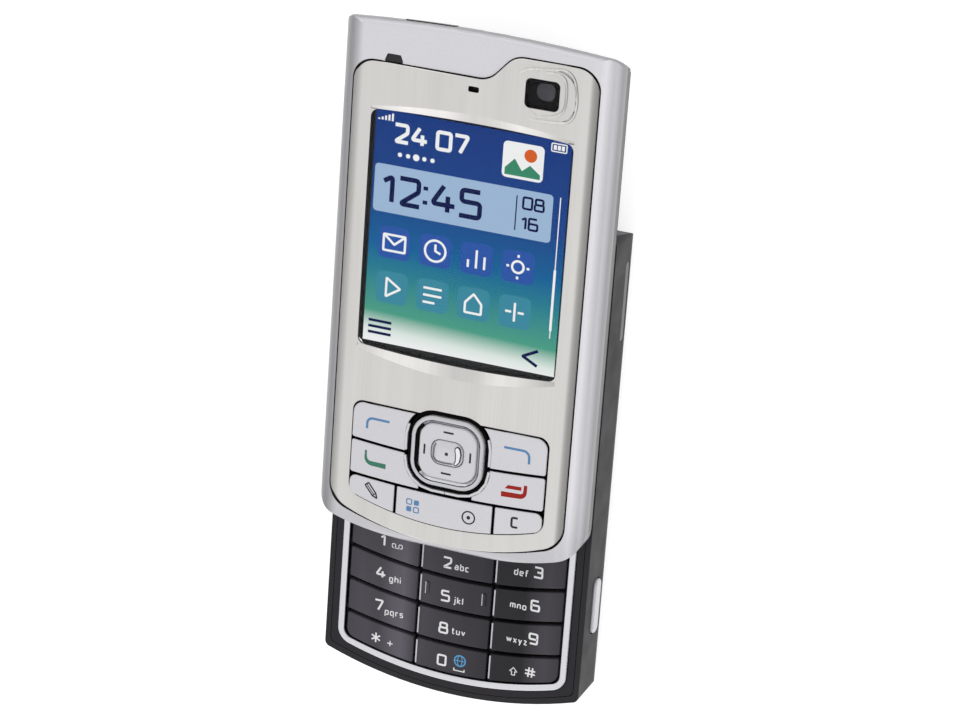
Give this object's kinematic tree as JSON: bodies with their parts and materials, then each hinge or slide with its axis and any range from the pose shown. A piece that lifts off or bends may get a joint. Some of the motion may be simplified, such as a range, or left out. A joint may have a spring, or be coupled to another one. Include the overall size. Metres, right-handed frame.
{
  "type": "slider phone",
  "caption": "Slider mobile phone lying on its back with the slide open: display and navigation keys on the upper half, number keys on the lower half, battery and card inside.",
  "frame": {"origin": "middle of the lower half's flat back face, on the battery cover", "axes": "+X across to the right seen from the front, +Y towards the top end with the display, +Z out of the screen"},
  "size_m": [0.0501, 0.1265, 0.0234],
  "materials": {
    "charcoal_housing": "fine moulded texture, satin",
    "charcoal_front": "satin moulded",
    "bright_trim": "polished plating",
    "black_silicone": "matte moulded",
    "green_board": "solder mask",
    "rail_steel": "stamped",
    "spring_steel": "drawn wire",
    "amber_flex": "polyimide film",
    "dark_window": "polished",
    "black_moulding": "moulded",
    "camera_barrel": "moulded",
    "clear_window": "polished",
    "speaker_box": "moulded with metal mesh",
    "screw_steel": "machined",
    "battery_can": "drawn can",
    "silver_paint": "metallic paint under clear coat",
    "silver_key": "metallic paint under clear coat",
    "brushed_face": "grain along the phone",
    "display_panel": "printed border, lit screen",
    "black_gloss": "polished",
    "number_key": "polished"
  },
  "bodies": {
    "lower_half": {"rear_housing": "charcoal_housing", "keypad_frame": "charcoal_front", "keypad_trim": "bright_trim", "keypad_mat": "black_silicone", "main_board": "green_board", "slide_rails": "rail_steel", "assist_spring": "spring_steel", "flex_cable": "amber_flex", "infrared_window": "dark_window", "system_connector": "black_moulding", "charger_socket": "black_moulding", "rear_camera": "camera_barrel", "rear_windows": "clear_window", "loudspeaker": "speaker_box", "housing_screws": "screw_steel", "sim_holder": "rail_steel"},
    "upper_half": {"upper_frame": "silver_paint", "faceplate": "brushed_face", "display_window": "clear_window", "display_module": "display_panel", "light_sensor": "dark_window", "earpiece": "speaker_box", "front_camera": "camera_barrel", "front_camera_window": "dark_window", "nav_surround": "black_gloss", "upper_key_mat": "black_silicone", "upper_board": "green_board", "slide_plate": "charcoal_front", "upper_screws": "screw_steel"},
    "battery_cover": {"battery_cover": "charcoal_housing"},
    "battery": {"battery": "battery_can"},
    "card_door": {"card_door": "charcoal_housing"},
    "memory_card": {"memory_card": "black_moulding"},
    "cover_latch": {"cover_latch": "charcoal_front"},
    "macro_lever": {"macro_lever": "silver_paint"},
    "capture_key": {"capture_key": "silver_key"},
    "power_key": {"power_key": "black_gloss"},
    "nav_post": {"nav_post": "black_moulding"},
    "nav_rocker": {"nav_ring": "bright_trim", "nav_pad": "silver_key"},
    "select_key": {"select_key": "silver_key"},
    "soft_key_left": {"soft_key_left": "silver_key"},
    "soft_key_right": {"soft_key_right": "silver_key"},
    "call_key": {"call_key": "silver_key"},
    "end_key": {"end_key": "silver_key"},
    "edit_key": {"edit_key": "silver_key"},
    "menu_key": {"menu_key": "silver_key"},
    "clear_key": {"clear_key": "silver_key"},
    "key_1": {"key_1": "number_key"},
    "key_2": {"key_2": "number_key"},
    "key_3": {"key_3": "number_key"},
    "key_4": {"key_4": "number_key"},
    "key_5": {"key_5": "number_key"},
    "key_6": {"key_6": "number_key"},
    "key_7": {"key_7": "number_key"},
    "key_8": {"key_8": "number_key"},
    "key_9": {"key_9": "number_key"},
    "key_0": {"key_0": "number_key"},
    "key_star": {"key_star": "number_key"},
    "key_hash": {"key_hash": "number_key"}
  },
  "joints": [
    {"name": "slide", "type": "slide", "parent": "lower_half", "child": "upper_half", "axis": [0, -1, 0], "range_m": [0, 0.03105], "deforming": ["assist_spring", "flex_cable"]},
    {"name": "battery_cover_lift", "type": "slide", "parent": "lower_half", "child": "battery_cover", "axis": [0, 0, -1], "range_m": [0, 0.03]},
    {"name": "battery_lift", "type": "slide", "parent": "lower_half", "child": "battery", "axis": [0, 0, -1], "range_m": [0, 0.015]},
    {"name": "card_door_hinge", "type": "hinge", "parent": "lower_half", "child": "card_door", "pos_m": [-0.02415, 0.004, 0.00615], "axis": [0, -1, 0], "range_deg": [0, 95]},
    {"name": "memory_card_eject", "type": "slide", "parent": "lower_half", "child": "memory_card", "axis": [-1, 0, 0], "range_m": [0, 0.004]},
    {"name": "cover_latch_slide", "type": "slide", "parent": "lower_half", "child": "cover_latch", "axis": [0, 1, 0], "range_m": [0, 0.0008], "stiffness_N_per_m": 400, "springref_m": -0.001},
    {"name": "macro_lever_turn", "type": "hinge", "parent": "lower_half", "child": "macro_lever", "pos_m": [0, 0.03, 0.00085], "axis": [0, 0, 1], "range_deg": [0, 25]},
    {"name": "capture_key_press", "type": "slide", "parent": "lower_half", "child": "capture_key", "axis": [-1, 0, 0], "range_m": [0, 0.0004], "stiffness_N_per_m": 1500, "springref_m": -0.0004},
    {"name": "power_key_press", "type": "slide", "parent": "upper_half", "child": "power_key", "axis": [0, -1, 0], "range_m": [0, 0.0004], "stiffness_N_per_m": 1500, "springref_m": -0.0004},
    {"name": "nav_tilt_left_right", "type": "hinge", "parent": "upper_half", "child": "nav_post", "pos_m": [0, 0.00443, 0.02075], "axis": [0, 1, 0], "range_deg": [-2, 2], "stiffness_Nm_per_rad": 0.3},
    {"name": "nav_tilt_up_down", "type": "hinge", "parent": "nav_post", "child": "nav_rocker", "pos_m": [0, 0.00443, 0.02075], "axis": [1, 0, 0], "range_deg": [-2, 2], "stiffness_Nm_per_rad": 0.3},
    {"name": "select_key_press", "type": "slide", "parent": "nav_rocker", "child": "select_key", "axis": [0, 0, -1], "range_m": [0, 0.00025], "stiffness_N_per_m": 1500, "springref_m": -0.0004},
    {"name": "soft_key_left_press", "type": "slide", "parent": "upper_half", "child": "soft_key_left", "axis": [0, 0, -1], "range_m": [0, 0.0003], "stiffness_N_per_m": 1500, "springref_m": -0.0004},
    {"name": "soft_key_right_press", "type": "slide", "parent": "upper_half", "child": "soft_key_right", "axis": [0, 0, -1], "range_m": [0, 0.0003], "stiffness_N_per_m": 1500, "springref_m": -0.0004},
    {"name": "call_key_press", "type": "slide", "parent": "upper_half", "child": "call_key", "axis": [0, 0, -1], "range_m": [0, 0.0003], "stiffness_N_per_m": 1500, "springref_m": -0.0004},
    {"name": "end_key_press", "type": "slide", "parent": "upper_half", "child": "end_key", "axis": [0, 0, -1], "range_m": [0, 0.0003], "stiffness_N_per_m": 1500, "springref_m": -0.0004},
    {"name": "edit_key_press", "type": "slide", "parent": "upper_half", "child": "edit_key", "axis": [0, 0, -1], "range_m": [0, 0.0003], "stiffness_N_per_m": 1500, "springref_m": -0.0004},
    {"name": "clear_key_press", "type": "slide", "parent": "upper_half", "child": "clear_key", "axis": [0, 0, -1], "range_m": [0, 0.0003], "stiffness_N_per_m": 1500, "springref_m": -0.0004},
    {"name": "menu_key_rock", "type": "hinge", "parent": "upper_half", "child": "menu_key", "pos_m": [0, -0.00637, 0.0206], "axis": [0, 1, 0], "range_deg": [-1.8, 1.8], "stiffness_Nm_per_rad": 0.3},
    {"name": "key_1_press", "type": "slide", "parent": "lower_half", "child": "key_1", "axis": [0, 0, -1], "range_m": [0, 0.00035], "stiffness_N_per_m": 1500, "springref_m": -0.0004},
    {"name": "key_2_press", "type": "slide", "parent": "lower_half", "child": "key_2", "axis": [0, 0, -1], "range_m": [0, 0.00035], "stiffness_N_per_m": 1500, "springref_m": -0.0004},
    {"name": "key_3_press", "type": "slide", "parent": "lower_half", "child": "key_3", "axis": [0, 0, -1], "range_m": [0, 0.00035], "stiffness_N_per_m": 1500, "springref_m": -0.0004},
    {"name": "key_4_press", "type": "slide", "parent": "lower_half", "child": "key_4", "axis": [0, 0, -1], "range_m": [0, 0.00035], "stiffness_N_per_m": 1500, "springref_m": -0.0004},
    {"name": "key_5_press", "type": "slide", "parent": "lower_half", "child": "key_5", "axis": [0, 0, -1], "range_m": [0, 0.00035], "stiffness_N_per_m": 1500, "springref_m": -0.0004},
    {"name": "key_6_press", "type": "slide", "parent": "lower_half", "child": "key_6", "axis": [0, 0, -1], "range_m": [0, 0.00035], "stiffness_N_per_m": 1500, "springref_m": -0.0004},
    {"name": "key_7_press", "type": "slide", "parent": "lower_half", "child": "key_7", "axis": [0, 0, -1], "range_m": [0, 0.00035], "stiffness_N_per_m": 1500, "springref_m": -0.0004},
    {"name": "key_8_press", "type": "slide", "parent": "lower_half", "child": "key_8", "axis": [0, 0, -1], "range_m": [0, 0.00035], "stiffness_N_per_m": 1500, "springref_m": -0.0004},
    {"name": "key_9_press", "type": "slide", "parent": "lower_half", "child": "key_9", "axis": [0, 0, -1], "range_m": [0, 0.00035], "stiffness_N_per_m": 1500, "springref_m": -0.0004},
    {"name": "key_0_press", "type": "slide", "parent": "lower_half", "child": "key_0", "axis": [0, 0, -1], "range_m": [0, 0.00035], "stiffness_N_per_m": 1500, "springref_m": -0.0004},
    {"name": "key_star_press", "type": "slide", "parent": "lower_half", "child": "key_star", "axis": [0, 0, -1], "range_m": [0, 0.00035], "stiffness_N_per_m": 1500, "springref_m": -0.0004},
    {"name": "key_hash_press", "type": "slide", "parent": "lower_half", "child": "key_hash", "axis": [0, 0, -1], "range_m": [0, 0.00035], "stiffness_N_per_m": 1500, "springref_m": -0.0004}
  ],
  "couplings": [
    {"joint": "battery_lift", "follows": "battery_cover_lift", "ratio": 0.5},
    {"joint": "card_door_hinge", "follows": "memory_card_eject", "rad_per_m": 414.5}
  ]
}
